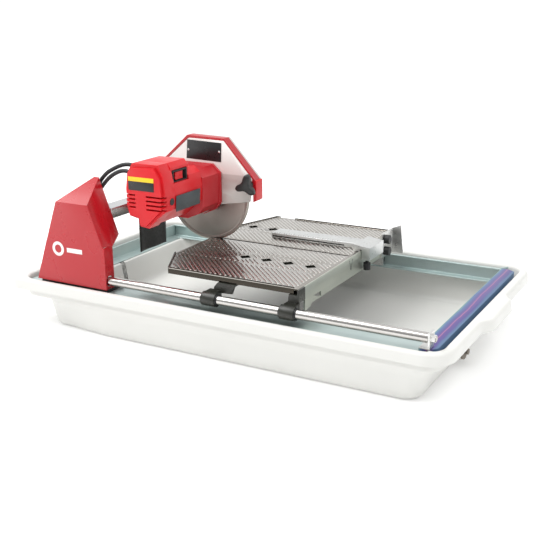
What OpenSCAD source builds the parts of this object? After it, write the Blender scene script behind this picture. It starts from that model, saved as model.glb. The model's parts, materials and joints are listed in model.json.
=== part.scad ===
// Wet tile saw. A moulded water pan carries a plated steel frame. A table slides along the frame
// on a guide rod, under a geared motor head that an arm holds over it.
// Millimetres. X runs along the pan to the operator's end, Y away from the tower's side, Z up.
// The origin is on the floor, under the middle of the pan.

/* [Pan] */
// Length over the pan's rim, without the handles
pan_len = 843; // [790:1:1020]
// Width over the pan's rim
pan_wid = 502; // [440:1:610]
// Height of the rim's top above the floor
pan_height = 89; // [84:1:107]
// Thickness of the moulded plastic
pan_wall = 3; // [2:0.1:4]
// Width of the flat rim
rim_wid = 15; // [12:1:24]
// Depth of the rim's outer skirt
skirt_depth = 20; // [12:1:24]
// How far each handle stands out of the rim
handle_out = 14; // [10:1:24]
// Length of each handle along the rim
handle_len = 150; // [120:1:190]
// Depth of the pan's shelf below the rim's top
shelf_drop = 31; // [26:1:34]
// Length of the shelf under the tower
shelf_len = 42; // [36:1:60]

/* [Frame] */
// Thickness of the frame's sheet steel
sheet = 2.5; // [2:0.1:3]
// Height of the side rails
rail_h = 26; // [22:1:30]
// Width of the near rail, which the tower stands on
rail_near_wid = 45; // [38:1:52]
// Width of the far rail's roller track
rail_far_wid = 18; // [16:1:24]
// Height of the end cross member
cross_h = 31; // [30:1:38]
// Width of the end cross member's flanges
cross_wid = 24; // [20:1:28]
// Diameter of the guide rod
rod_d = 16; // [12:0.5:18]
// Height of the rod's axis above the near rail
rod_lift = 21; // [17:1:24]

/* [Tower] */
// Length of the tower cover at its foot
cover_len = 157; // [140:1:190]
// Thickness of the tower cover
cover_wall = 2.2; // [1.6:0.1:3]
// Depth of the cover's lower part
cover_low_depth = 23; // [22:1:24]
// Depth of the cover's upper part
cover_high_depth = 55; // [45:1:64]
// Thickness of the plate under the post
base_plate = 6; // [4:0.5:8]
// Width of the post along the pan
post_wid = 58; // [48:1:66]
// Thickness of the post
post_thick = 17; // [16:0.5:18]
// Width of the arm
arm_wid = 31; // [26:1:34]
// Height of the arm
arm_tall = 19; // [16:1:24]

/* [Blade] */
// Diameter of the blade
blade_d = 178; // [150:1:178]
// Thickness of the blade's steel core
blade_core = 1.6; // [1.2:0.1:2]
// Thickness of the blade's diamond rim
blade_rim = 2.2; // [1.8:0.1:2.6]
// Diameter of the arbor, which is the blade's bore
arbor_d = 15.9; // [12.7:0.1:20]
// How far the blade reaches below the table's top
blade_dip = 4.4; // [3:0.1:7]
// Diameter of the flanges that grip the blade
flange_d = 40; // [32:1:46]

/* [Motor] */
// Length of the motor's body, from its end face to the gear case
motor_len = 113; // [100:1:130]
// Length of the gear case
gear_case_len = 59; // [52:1:64]
// Wall of the motor's body
motor_wall = 3; // [2.5:0.1:4]
// Teeth on the motor's pinion
pinion_teeth = 10; // [9:1:12]
// Teeth on the driven gear
gear_teeth = 50; // [44:1:52]
// Module of the gears
gear_module = 1.25; // [1.2:0.01:1.28]
// Diameter of the motor's shaft
shaft_d = 8; // [7:0.5:9]
// Running clearance round each shaft, on the radius
running_gap = 0.05; // [0.02:0.01:0.08]

/* [Guard] */
// Depth of the guard shell
guard_depth = 23.4; // [23:0.1:30]
// Thickness of the guard's metal
guard_wall = 2.2; // [1.6:0.1:2.6]
// Radius over the guard knob's three lobes
knob_r = 22; // [18:1:25]

/* [Table] */
// Height of the table's top above the rod's axis
table_lift = 34.4; // [32:0.1:44]
// Length of the table
table_len = 290; // [260:1:330]
// Thickness of the table's sheet
table_sheet = 2.6; // [2:0.1:3]
// Height of the near and far lips over the top
lip_h = 2.4; // [1:0.1:4]
// Width of the blade's slot
slot_wid = 5; // [4:0.1:8]
// Height of the backstop
backstop_h = 44; // [40:1:46]
// Length of each slide bushing
bushing_len = 30; // [24:1:34]
// Diameter of the track rollers
roller_d = 20; // [16:1:22]

/* [Hidden] */
$fn = 64;

// pan
rim_x = pan_len / 2;
rim_y = pan_wid / 2;
in_x0 = -rim_x + rim_wid + 18;
in_x1 = rim_x - rim_wid - 4;
in_y = rim_y - rim_wid;
shelf_z = pan_height - shelf_drop;
tub_x0 = in_x0 + shelf_len;
tub_x1 = in_x1 - 16;
tub_y = in_y;
tub_step = 9;
tub_step_x = tub_x0 + 48;
draft = 10;
end_draft = 2 * draft;
handle_y = -8;
rim_r_left = 28;
rim_r_right = 45;
drain_d = 22;
drain_z = 22;
drain_y = -50;
drain_seat = tub_x1 + pan_wall - end_draft * (1 - (drain_z + drain_d / 2 + 5) / shelf_z) + 0.5;

// frame
frame_x0 = in_x0 + 12;
frame_x1 = in_x1 - 8;
frame_z = shelf_z;
rail_top = frame_z + rail_h;
near_y0 = -in_y + 6;
near_y1 = near_y0 + rail_near_wid;
far_y1 = in_y - 6;
far_y0 = far_y1 - rail_far_wid;
cross_x0 = frame_x1 - cross_wid;
rail_x0 = frame_x0 + sheet + 0.3;
rail_x1 = cross_x0 - 0.3;
far_rail_x1 = cross_x0 + 8;
cross_y1 = far_y0 - 0.3;
rod_y = near_y0 + 5;
rod_z = rail_top + rod_lift;
rod_thread = 7.8;
cross_top = frame_z + cross_h;
bolt_d = 6;
bolt_head = 10;

// tower
cover_x0 = frame_x0 + 24;
cover_x1 = cover_x0 + cover_len;
cover_y0 = rod_y - 11;
cover_low_y = cover_y0 + cover_low_depth;
cover_high_y = cover_y0 + cover_high_depth;
cover_z0 = rail_top + base_plate + 1;
post_x0 = cover_x0 + 62;
post_x1 = post_x0 + post_wid;
post_y0 = cover_y0 + cover_wall + 1;
post_y1 = post_y0 + post_thick;
rod_x0 = post_x1;
rod_x1 = frame_x1 - 10.2;
tower_bolt_xs = [cover_x0 + 14, post_x0 - 12, post_x1 + 12, cover_x1 - 8];

// head, set from the tower's foot
blade_x = cover_x1 + 62;
table_z = rod_z + table_lift;
blade_z = table_z + blade_d / 2 - blade_dip;
arm_x0 = blade_x - 118;
arm_z0 = blade_z - 21;
arm_y1 = -22;
cover_knee = cover_z0 + 65;
cover_shoulder = arm_z0 + arm_tall + 16;
cover_apex = cover_shoulder + 38;
post_top = cover_shoulder - cover_wall - 3;

// gears and motor, along Y; places are from the blade's centre
centre_gap = gear_module * (pinion_teeth + gear_teeth) / 2;
motor_dx = -6;
motor_dz = sqrt(centre_gap * centre_gap - motor_dx * motor_dx);
plate_y0 = -14;
plate_y1 = plate_y0 + guard_wall;
case_y1 = plate_y0 - 0.4;
case_y0 = case_y1 - gear_case_len;
motor_y1 = case_y0;
motor_y0 = motor_y1 - motor_len;
cap_len = 27;
cap_y0 = motor_y0 - 6;
gear_y0 = case_y1 - 20;
gear_wid = 9;
flange_y1 = blade_core / 2 + 2.8;
nut_y1 = flange_y1 + 5;
brush_y = motor_y0 + 19;
brush_z = motor_dz - 17;
rocker_y = motor_y0 + 53;
rocker_z = 59.5;
rocker_x = 26;
mesh_angle = atan2(motor_dz, motor_dx);
body_outline = [
    [-30, 66], [20, 66], [32, 56], [35, 34], [33, 5], [16, -10], [-1, -24], [-19, -24],
    [-22, -12], [-40, -8], [-45, 10], [-45, 40], [-41, 58]
];
// the supply lead's way from the tower to the motor, from the blade's centre
lead_points = [
    [-45, -158, 72], [-58, -160, 75], [-72, -162, 73], [-88, -165, 66], [-102, -168, 57],
    [-114, -171, 43], [-123, -173, 24], [-131, -176, 2], [-136, -183, -22], [-138, -195, -44]
];
// the water hose's way beside it
hose_points = [
    [-45, -171, 63], [-58, -172, 66], [-72, -173, 63], [-88, -174, 54], [-101, -175, 42],
    [-113, -176, 27], [-121, -177, 6], [-124, -184, -18], [-126, -196, -44]
];
lead_r = 3.6;

// guard
knob_dx = 96;
knob_dz = 26;
pivot_dx = -78;
pivot_dz = 38;
shell_y0 = plate_y1 + 0.4;
shell_y1 = shell_y0 + guard_depth;
ring_y1 = shell_y0 + 3;
ring_wid = 5.5;
nose_x0 = knob_dx + 7;
guard_edge = [[-98, 44], [-98, 54], [-36, 108], [43, 106], [108, 35]];

// table
table_x0 = blade_x + 7;
table_x1 = table_x0 + table_len;
table_y0 = rod_y + 17;
table_y1 = far_y0 - 18;
leg_xs = [table_x0 + 142, table_x0 + 283];
bush_x = [leg_xs[0] - 17, leg_xs[1] - 14];
bushing_d = rod_d + 4;
clamp_r = bushing_d / 2 + 1.8;
leg_sheet = 4;
track_z = frame_z + sheet;
roller_z = track_z + roller_d / 2 + 0.1;
roller_y = far_y0 + 4;
roller_wid = 9;
roller_xs = [table_x0 + 70, table_x1 - 40];
bracket_y = far_y0 - 3;
back_x0 = table_x1 + 0.2;
back_x1 = back_x0 + table_sheet;
back_top = table_z + 4;
back_y0 = table_y0 + 18;

// rip guide
bar_y0 = 48;
bar_y1 = 84;
bar_x0 = table_x0 + 101;
bar_z0 = table_z + 0.4;
bar_z1 = bar_z0 + 9;
head_y0 = 30;
head_y1 = 94;
screw_x = back_x1 + 8.5;
screw_y = 37;
stop_y = 132;
stop_zs = [table_z + 0.5, table_z - 22];

// a point moved from the blade's centre to the pan's frame
module head() {
    translate([blade_x, 0, blade_z]) children();
}

// a solid drawn in the XZ plane, between two places along Y
module slab_y(y0, y1) {
    translate([0, y1, 0]) rotate([90, 0, 0]) linear_extrude(height = y1 - y0) children();
}

// a solid drawn in the YZ plane, between two places along X
module slab_x(x0, x1) {
    translate([x0, 0, 0]) rotate([90, 0, 90]) linear_extrude(height = x1 - x0) children();
}

// a cylinder along Y
module round_y(x, z, r, y0, y1) {
    translate([x, y0, z]) rotate([-90, 0, 0]) cylinder(r = r, h = y1 - y0);
}

// a cylinder along X
module round_x(y, z, r, x0, x1) {
    translate([x0, y, z]) rotate([0, 90, 0]) cylinder(r = r, h = x1 - x0);
}

module box(a, b) {
    translate(a) cube(b - a);
}

// a rectangle with round corners, of one radius on the left and one on the right
module plate(x0, x1, y0, y1, left, right) {
    translate([x0 + left, y0]) square([x1 - x0 - left - right, y1 - y0]);
    translate([x0, y0 + left]) square([(x1 - x0) / 2 + 1, y1 - y0 - 2 * left]);
    translate([(x0 + x1) / 2, y0 + right]) square([(x1 - x0) / 2, y1 - y0 - 2 * right]);
    for (y = [y0 + left, y1 - left]) translate([x0 + left, y]) circle(r = left, $fn = 32);
    for (y = [y0 + right, y1 - right]) translate([x1 - right, y]) circle(r = right, $fn = 32);
}

// the tub's tapered block between two heights; left is its corner radius on the left
module tub_block(x0, x1, y, z0, z1, left) {
    hull() {
        translate([0, 0, z0]) linear_extrude(height = 0.1)
            plate(x0 + draft, x1 - end_draft, -y + draft, y - draft, left, 24);
        translate([0, 0, z1 - 0.1]) linear_extrude(height = 0.1)
            plate(x0, x1, -y, y, left, 28);
    }
}

// the rim with its two handles, drawn in by g
module rim_outline(g) {
    plate(-rim_x + g, rim_x - g, -rim_y + g, rim_y - g, rim_r_left - g, rim_r_right - g);
    for (side = [-1, 1]) translate([0, handle_y]) {
        polygon([
            [side * (rim_x - 30), -handle_len / 2 - 4 + g],
            [side * (rim_x - g), -handle_len / 2 - 4 + g],
            [side * (rim_x + handle_out - g), -handle_len / 2 + 26 + g],
            [side * (rim_x + handle_out - g), handle_len / 2 - 26 - g],
            [side * (rim_x - g), handle_len / 2 + 4 - g],
            [side * (rim_x - 30), handle_len / 2 + 4 - g]
        ]);
    }
}

// the pan's upper part, grown by g, which the frame sits in
module frame_well(g) {
    plate(in_x0 - g, in_x1 + g, -in_y - g, in_y + g, 27 + g, 27 + g);
}

module pan() {
    color("white") difference() {
        union() {
            tub_block(tub_x0 - pan_wall, tub_x1 + pan_wall, tub_y - tub_step + pan_wall, 0, shelf_z, 24);
            tub_block(tub_step_x, tub_x1 + pan_wall, tub_y + pan_wall, 0, shelf_z, 14);
            translate([0, 0, shelf_z - pan_wall]) linear_extrude(height = shelf_drop + pan_wall)
                frame_well(pan_wall);
            translate([0, 0, pan_height - skirt_depth]) linear_extrude(height = skirt_depth)
                rim_outline(0);
            round_x(drain_y, drain_z, drain_d / 2 + 5, tub_x1 - 40, drain_seat);
        }
        tub_block(tub_x0, tub_x1, tub_y - tub_step, pan_wall, shelf_z + 1, 21);
        tub_block(tub_step_x + pan_wall, tub_x1, tub_y, pan_wall, shelf_z + 1, 11);
        translate([0, 0, shelf_z]) linear_extrude(height = shelf_drop + 1) frame_well(0);
        translate([0, 0, pan_height - skirt_depth - 1])
            linear_extrude(height = skirt_depth + 1 - pan_wall) difference() {
                rim_outline(pan_wall);
                frame_well(pan_wall);
            }
        round_x(drain_y, drain_z, drain_d / 2, tub_x1 - 40, tub_x1 + 20);
    }
}

// rubber stopper in the drain hole of the operator's end
module drain_plug() {
    color("dimgray") {
        round_x(drain_y, drain_z, drain_d / 2 - 0.3, drain_seat - 12, drain_seat + 0.2);
        round_x(drain_y, drain_z, drain_d / 2 + 3, drain_seat + 0.1, drain_seat + 4);
        difference() {
            round_x(drain_y, drain_z, 5, drain_seat + 4, drain_seat + 10);
            round_y(drain_seat + 7, drain_z, 1.5, drain_y - 9, drain_y + 9);
        }
    }
}

// near rail: a channel, open below
module rail_near() {
    color("lightslategray") difference() {
        union() {
            box([rail_x0, near_y0, rail_top - sheet], [rail_x1, near_y1, rail_top]);
            box([rail_x0, near_y0, frame_z], [rail_x1, near_y0 + sheet, rail_top]);
            box([rail_x0, near_y1 - sheet, frame_z], [rail_x1, near_y1, rail_top]);
        }
        for (x = tower_bolt_xs, y = [near_y1 - 12])
            translate([x, y, rail_top - sheet - 1]) cylinder(d = bolt_d, h = sheet + 2);
    }
}

// far rail: a channel whose lower flange is the rollers' track
module rail_far() {
    color("lightslategray") {
        box([rail_x0, far_y1 - sheet, frame_z], [far_rail_x1, far_y1, rail_top]);
        box([rail_x0, far_y0, frame_z], [far_rail_x1, far_y1, frame_z + sheet]);
        box([rail_x0, far_y1 - 7, rail_top - sheet], [far_rail_x1, far_y1, rail_top]);
        slab_y(far_y1 - sheet, far_y1) polygon([
            [cross_x0 - 14, rail_top - 1], [far_rail_x1, rail_top - 1], [far_rail_x1, cross_top]
        ]);
    }
}

module cross_left() {
    color("lightslategray") {
        box([frame_x0, near_y0, frame_z], [frame_x0 + sheet, far_y1, rail_top]);
        box([frame_x0, near_y1 + 0.3, frame_z], [frame_x0 + 26, far_y0 - 0.3, frame_z + sheet]);
    }
}

// end cross member: a folded channel with closed ends; its top falls away past a lengthwise bend
module cross_right() {
    bend_x = frame_x1 - 12;
    fall = 3;
    color("slateblue") intersection() {
        union() {
            slab_y(near_y0, cross_y1) polygon([
                [cross_x0, frame_z], [frame_x1, frame_z], [frame_x1, cross_top - fall],
                [bend_x, cross_top], [cross_x0, cross_top], [cross_x0, cross_top - sheet],
                [bend_x - 0.3, cross_top - sheet], [frame_x1 - sheet, cross_top - fall - sheet],
                [frame_x1 - sheet, frame_z + sheet], [cross_x0, frame_z + sheet]
            ]);
            for (y = [near_y0, cross_y1 - sheet]) slab_y(y, y + sheet) polygon([
                [cross_x0, frame_z], [frame_x1, frame_z], [frame_x1, cross_top - fall],
                [bend_x, cross_top], [cross_x0, cross_top]
            ]);
        }
        translate([0, 0, frame_z - 1]) linear_extrude(height = cross_h + 10)
            plate(cross_x0 - 60, frame_x1, near_y0, far_y1, 22, 22);
    }
}

// the M6 screws that hold the tower's plate and the frame's corners, all alike
module m6_screw() {
    cylinder(d = bolt_head, h = 4, $fn = 6);
    translate([0, 0, -base_plate - 6]) cylinder(d = bolt_d - 0.2, h = base_plate + 6.5);
}

module frame_bolts() {
    color("silver") {
        for (x = tower_bolt_xs) translate([x, near_y1 - 12, rail_top + base_plate]) m6_screw();
    }
}

module guide_rod() {
    color("gainsboro") {
        round_x(rod_y, rod_z, rod_d / 2, rod_x0 - 14, rod_x1);
        round_x(rod_y, rod_z, rod_thread / 2, rod_x1 - 1, frame_x1 + 1);
    }
}

// the upright plate that carries the rod's free end, on a foot on the cross member
module rod_bracket() {
    color("silver") difference() {
        union() {
            box([rod_x1, rod_y - 7, cross_top], [rod_x1 + 3.5, rod_y + 13, rod_z + 9]);
            box([cross_x0 + 1, rod_y - 7, cross_top], [rod_x1 + 3.5, rod_y + 13, cross_top + 2.5]);
        }
        round_x(rod_y, rod_z, rod_thread / 2 + 0.1, rod_x1 - 1, rod_x1 + 5);
    }
}

// nut and washer on the rod's threaded end
module rod_nut() {
    nut_x0 = rod_x1 + 3.5;
    color("silver") difference() {
        union() {
            round_x(rod_y, rod_z, 7, nut_x0, nut_x0 + 1.6);
            translate([nut_x0 + 1.6, rod_y, rod_z]) rotate([0, 90, 0])
                cylinder(d = 13, h = 5, $fn = 6);
        }
        round_x(rod_y, rod_z, rod_thread / 2, nut_x0 - 1, nut_x0 + 8);
    }
}

module tower_base() {
    color("dimgray") difference() {
        box([cover_x0 + 3, near_y0 + 1, rail_top], [cover_x1 - 3, near_y1, rail_top + base_plate]);
        for (x = tower_bolt_xs) translate([x, near_y1 - 12, rail_top - 1])
            cylinder(d = bolt_d, h = base_plate + 2);
    }
}

// upright bar inside the cover; it takes the rod's end and carries the arm
module post() {
    color("dimgray") difference() {
        union() {
            box([post_x0, post_y0, rail_top + base_plate], [post_x1, post_y1, post_top - 18]);
            slab_y(post_y0, post_y1) polygon([
                [post_x0, post_top - 18], [post_x1, post_top - 18], [post_x1 - 6, post_top],
                [post_x0 + 12, post_top]
            ]);
        }
        round_x(rod_y, rod_z, rod_d / 2 + 0.05, post_x1 - 14.1, post_x1 + 1);
    }
}

function cover_low(g) = [
    [cover_x0 + g, cover_z0 - (g > 0 ? 1 : 0)], [cover_x1 - g, cover_z0 - (g > 0 ? 1 : 0)],
    [cover_x1 - g, cover_knee + 10], [cover_x0 + g + 28, cover_knee + 10]
];

// front face of the upper cover, drawn in XZ and drawn in by g
function cover_front(g) = [
    [cover_x0 + 24.5 + g, cover_knee], [cover_x1 - g, cover_knee],
    [cover_x1 - 31 - g, cover_shoulder - g], [cover_x0 + 56 + g, cover_shoulder - g]
];

function cover_back(g) = [
    [cover_x0 + 38 + g, cover_knee + 22], [cover_x1 - 10 - g, cover_knee + 22],
    [cover_x1 - 47 - g, cover_apex - g], [cover_x1 - 57 + g * 0.2 - g, cover_apex - g]
];

// the cover's solid; grown in depth past its open back when g is above 0
module cover_block(g) {
    back = g > 0 ? 1 : 0;
    slab_y(cover_y0 + g, cover_low_y + back) polygon(cover_low(g));
    hull() {
        slab_y(cover_y0 + g, cover_y0 + g + 0.1) polygon(cover_front(g));
        slab_y(cover_high_y + back - 0.1, cover_high_y + back) polygon(cover_back(g));
        slab_y(cover_low_y - 0.1, cover_low_y) polygon([
            [cover_x0 + 28 + g, cover_knee + 8], [cover_x1 - g, cover_knee + 8],
            [cover_x1 - 2 - g, cover_knee + 12]
        ]);
    }
}

module tower_cover() {
    color("crimson") difference() {
        cover_block(0);
        cover_block(cover_wall);
        round_x(rod_y, rod_z, rod_d / 2 + 1.5, cover_x1 - 6, cover_x1 + 2);
    }
}

// plain white ring and bar on the tower's near face
module cover_badge() {
    mark_x = cover_x0 + 78;
    mark_z = cover_z0 + 62;
    color("white") slab_y(cover_y0 - 0.5, cover_y0) {
        translate([mark_x - 24, mark_z]) difference() {
            circle(r = 13);
            circle(r = 7.5);
        }
        translate([mark_x - 4, mark_z - 4]) square([34, 8]);
    }
}

// rectangular tube; its end inside the cover is narrower, clear of the cover's sloping side
module arm() {
    shoulder_y = cover_high_y + 1.5;
    neck_wid = arm_wid - 10;
    color("silver") {
        difference() {
            box([arm_x0, shoulder_y, arm_z0], [arm_x0 + arm_wid, arm_y1, arm_z0 + arm_tall]);
            box([arm_x0 + 2, shoulder_y + 2, arm_z0 + 2],
                [arm_x0 + arm_wid - 2, arm_y1 - 2, arm_z0 + arm_tall - 2]);
        }
        box([arm_x0, post_y1, arm_z0], [arm_x0 + neck_wid, shoulder_y + 1, arm_z0 + arm_tall - 2]);
    }
}

// steel plate that joins the arm, the gear case and the guard's fixed plate
module head_bracket() {
    color("dimgray") head() slab_y(arm_y1, plate_y0) difference() {
        polygon([[-119, -22], [-46.1, -22], [-46.1, 52], [-84, 52], [-119, 2]]);
        translate([pivot_dx, pivot_dz]) circle(r = 4.2);
    }
}

module flap_bracket() {
    color("dimgray") head() {
        box([-122, -13.6, -28], [-119, 40, -23]);
        box([-122, -21.6, -28], [-60, -13.6, -22]);
    }
}

module splash_flap() {
    color("#222222") head() box([-125.2, -54, -118], [-122.2, 30, -23]);
}

// --- motor -------------------------------------------------------------------------------

// the motor's round inner space, where the field and the armature are
module motor_bore(r, y0, y1) {
    round_y(motor_dx, motor_dz, r, y0, y1);
}

module motor_housing() {
    color("red") head() difference() {
        union() {
            slab_y(motor_y0 + cap_len, motor_y1) polygon(body_outline);
            slab_y(motor_y0 + cap_len, motor_y0 + 79) polygon([
                [-31, 60], [29, 60], [29, 75], [22, 84], [-31, 84], [-40, 74]
            ]);
        }
        motor_bore(28, motor_y0 + cap_len - 1, motor_y1 + 1);
        box([20, motor_y0 + cap_len + 3, 49.5], [40, motor_y0 + 75, 71]);
        lead_holes();
    }
}

// rear cap: bearing seat, air slots and brush holders
module motor_end_cap() {
    color("red") head() difference() {
        union() {
            slab_y(motor_y0, motor_y0 + cap_len) polygon([
                [-31, 84], [22, 84], [32, 66], [36, 34], [34, 5], [16, -10], [-1, -27],
                [-19, -25], [-21, -12], [-41, -8], [-46, 10], [-46, 40], [-42, 66]
            ]);
            slab_y(cap_y0, motor_y0) polygon([
                [-28, 77], [17, 79], [28, 62], [31, 34], [29, 8], [14, -6], [-3, -22],
                [-16, -21], [-17, -8], [-37, -4], [-41, 12], [-41, 38], [-38, 62]
            ]);
        }
        motor_bore(28, motor_y0 + 12, motor_y0 + cap_len + 1);
        motor_bore(11, motor_y0, motor_y0 + 13);
        for (i = [0:3]) {
            box([-1, cap_y0 - 1, 6 + i * 7.4], [40, motor_y0 + 5, 9 + i * 7.4]);
            box([-50, cap_y0 - 1, 8 + i * 7], [-23, motor_y0 + 5, 11 + i * 7]);
        }
        round_x(brush_y, brush_z, 6.2, -50, 40);
        lead_holes();
    }
}

module gear_case() {
    color("firebrick") head() difference() {
        union() {
            slab_y(case_y0, case_y1 - 5) polygon([
                [-44, 58], [20, 58], [36, 44], [36, -10], [27, -22], [2, -33], [-30, -33],
                [-44, -18]
            ]);
            slab_y(case_y1 - 5, case_y1) polygon([
                [-46, 60], [22, 60], [39, 45], [39, -11], [29, -24], [2, -36], [-31, -36],
                [-46, -20]
            ]);
        }
        motor_bore(15, case_y0 - 1, gear_y0);
        translate([0, gear_y0 - 1, 0]) rotate([-90, 0, 0])
            cylinder(r = 33.5, h = gear_wid + 2);
        motor_bore(10, gear_y0 - 2, gear_y0 + gear_wid + 1);
        round_y(0, 0, 13.05, gear_y0 + gear_wid, case_y1 + 1);
        round_y(0, 0, 11.05, gear_y0 - 10, gear_y0);
        motor_bore(9.55, gear_y0 - 2, case_y1 - 3);
    }
}

// a ball bearing, drawn as its closed outline
module bearing(x, z, y, r_out, r_in, w) {
    translate([x, y, z]) rotate([-90, 0, 0]) difference() {
        cylinder(r = r_out, h = w);
        translate([0, 0, -1]) cylinder(r = r_in + running_gap, h = w + 2);
    }
}

module bearings() {
    color("silver") head() {
        bearing(motor_dx, motor_dz, motor_y0 + 2, 11, shaft_d / 2, 7);
        bearing(motor_dx, motor_dz, case_y0 + 4, 15, shaft_d / 2, 8);
        bearing(0, 0, gear_y0 - 9, 11, 5, 7);
        bearing(0, 0, gear_y0 + gear_wid + 1, 13, arbor_d / 2, 8);
    }
}

// field laminations with two poles
module stator() {
    color("dimgray") head() slab_y(motor_y0 + 42, motor_y0 + 90) translate([motor_dx, motor_dz])
        difference() {
            circle(r = 27.9);
            circle(r = 18.5);
            for (a = [0, 180]) rotate(a) translate([15, -7]) square([9, 14]);
        }
}

module carbon_brushes() {
    color("#333333") head() {
        for (side = [-1, 1])
            translate([motor_dx + side * 17.8 - 6, brush_y - 4, motor_dz - 3]) cube([12, 8, 6]);
    }
}

module brush_caps() {
    color("#222222") head() {
        round_x(brush_y, brush_z, 6, 30, 36.2);
        round_x(brush_y, brush_z, 6, -46.2, -38);
    }
}

module switch_bezel() {
    color("#222222") head() difference() {
        box([20.4, motor_y0 + cap_len + 4, 50], [30.5, motor_y0 + 74, 70]);
        box([23, motor_y0 + cap_len + 7, 51.5], [32, motor_y0 + 71, 67.5]);
    }
}

// two-way rocker that turns about a line along Y
module switch_rocker() {
    color("red") head() difference() {
        slab_y(rocker_y - 11, rocker_y + 11) translate([0, rocker_z])
            polygon([[24.6, -5], [28, -6.6], [27.2, 0], [28, 6.6], [24.6, 5]]);
        round_y(rocker_x, rocker_z, 1, rocker_y - 12, rocker_y + 12);
    }
}

module side_label() {
    color("dimgray") head() translate([34.7, motor_y0 + 30, 0]) rotate([0, 3.9, 0])
        cube([0.5, 74, 28]);
}

module end_label_top() {
    color("gold") head() box([-36, cap_y0 - 0.5, 54.6], [17, cap_y0, 62]);
}

module end_label_bottom() {
    color("#222222") head() box([-36, cap_y0 - 0.5, 39], [17, cap_y0, 54.2]);
}

// --- rotating parts ----------------------------------------------------------------------

// a spur gear's outline, one tooth at a time
function gear_points(teeth, m, turn) = [
    for (i = [0:teeth - 1], k = [0:3])
        let (pitch = 360 / teeth, a = turn + i * pitch,
            r = (k == 1 || k == 2 ? teeth / 2 + 0.86 : teeth / 2 - 1.12) * m,
            half = k == 0 || k == 3 ? 0.3 : 0.13,
            s = k < 2 ? -half : half)
        [r * cos(a + s * pitch), r * sin(a + s * pitch)]
];

module armature() {
    color("#8a6a40") head() {
        slab_y(motor_y0 + 42, motor_y0 + 90) translate([motor_dx, motor_dz]) circle(r = 17.5);
        motor_bore(9, motor_y0 + 31.5, motor_y0 + 42);
        motor_bore(11.5, motor_y0 + 12.4, motor_y0 + 26);
        motor_bore(shaft_d / 2, motor_y0 + 0.6, gear_y0 + 1);
        slab_y(gear_y0 + 0.5, gear_y0 + gear_wid) translate([motor_dx, motor_dz])
            polygon(gear_points(pinion_teeth, gear_module, mesh_angle + 180 + 180 / pinion_teeth));
    }
}

module fan() {
    color("white") head() translate([motor_dx, motor_y0 + 96, motor_dz]) rotate([-90, 0, 0])
        difference() {
            union() {
                cylinder(r = 26, h = 1.5);
                cylinder(r = 8, h = 9);
                for (i = [0:11]) rotate(i * 30) translate([10, -0.8, 0]) cube([15.5, 1.6, 9]);
            }
            translate([0, 0, -1]) cylinder(r = shaft_d / 2, h = 12);
        }
}

module driven_gear() {
    color("silver") head() slab_y(gear_y0, gear_y0 + gear_wid - 0.5) difference() {
        polygon(gear_points(gear_teeth, gear_module, mesh_angle));
        circle(r = arbor_d / 2);
    }
}

module arbor() {
    color("gainsboro") head() {
        round_y(0, 0, arbor_d / 2, gear_y0 - 0.6, flange_y1);
        round_y(0, 0, 5, gear_y0 - 9, gear_y0 - 0.5);
        round_y(0, 0, 5, flange_y1 - 0.1, nut_y1 + 0.6);
    }
}

module flange(y0, y1) {
    head() slab_y(y0, y1) difference() {
        circle(d = flange_d);
        circle(d = arbor_d);
    }
}

module inner_flange() {
    color("silver") flange(-5.4, -blade_rim / 2 + 0.3);
}

module outer_flange() {
    color("silver") flange(blade_core / 2, flange_y1);
}

module arbor_nut() {
    color("silver") head() slab_y(flange_y1, nut_y1) difference() {
        circle(d = 24, $fn = 6);
        circle(r = 5);
    }
}

// steel core with a continuous diamond rim
module blade() {
    color("gainsboro") head() difference() {
        union() {
            round_y(0, 0, blade_d / 2 - 7, -blade_core / 2, blade_core / 2);
            slab_y(-blade_rim / 2, blade_rim / 2) difference() {
                circle(r = blade_d / 2, $fn = 128);
                circle(r = blade_d / 2 - 7.5, $fn = 128);
            }
        }
        round_y(0, 0, arbor_d / 2, -2, 2);
    }
}

// --- guard -------------------------------------------------------------------------------

// fixed near plate, with the stud for the knob and the pivot for the swinging shell
module guard_plate() {
    color("gainsboro") head() {
        difference() {
            slab_y(plate_y0, plate_y1)
                polygon([
                    [-92, 51], [-31, 103], [44, 102], [102.5, 37], [98.5, -5], [28, -17],
                    [-60, -20], [-92, 4]
                ]);
            round_y(0, 0, 14, plate_y0 - 1, plate_y1 + 1);
        }
        round_y(knob_dx, knob_dz, 4, plate_y0 - 16, shell_y0 + 4);
        round_y(knob_dx, knob_dz, 6, shell_y0 + 2.8, shell_y0 + 4.8);
        round_y(pivot_dx, pivot_dz, 4, plate_y0 - 4, shell_y0 + 4);
        round_y(pivot_dx, pivot_dz, 7, shell_y0 + 2.8, shell_y0 + 4.8);
    }
}

module plate_label() {
    color("#222222") head() slab_y(plate_y0 - 0.5, plate_y0)
        polygon([[-37, 65], [38.5, 63], [40, 98], [-34, 100]]);
}

// unit vector to the right of the way from a to b
function right_of(a, b) = [b[1] - a[1], a[0] - b[0]] / norm(b - a);

// the path p moved w to its right, with mitred corners
function inset(p, w) = [
    for (i = [0:len(p) - 1])
        let (n = len(p) - 1,
            a = right_of(p[max(i - 1, 0)], p[max(i, 1)]),
            b = right_of(p[min(i, n - 1)], p[min(i + 1, n)]))
        p[i] + (a + b) * w / (1 + a * b)
];

// a strip of width w inside the guard's edge
module guard_strip(w) {
    inner = inset(guard_edge, w);
    polygon(concat(guard_edge, [for (i = [len(inner) - 1:-1:0]) inner[i]]));
}

// the ring's end, where the nose meets it
ring_end = inset(guard_edge, ring_wid)[4];

module guard_face() {
    polygon(concat(guard_edge, [
        ring_end, [nose_x0 - 0.3, ring_end[1] - 1], [nose_x0 - 0.3, 12], [60, -8], [-80, -8],
        [-98, 6]
    ]));
}

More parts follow.
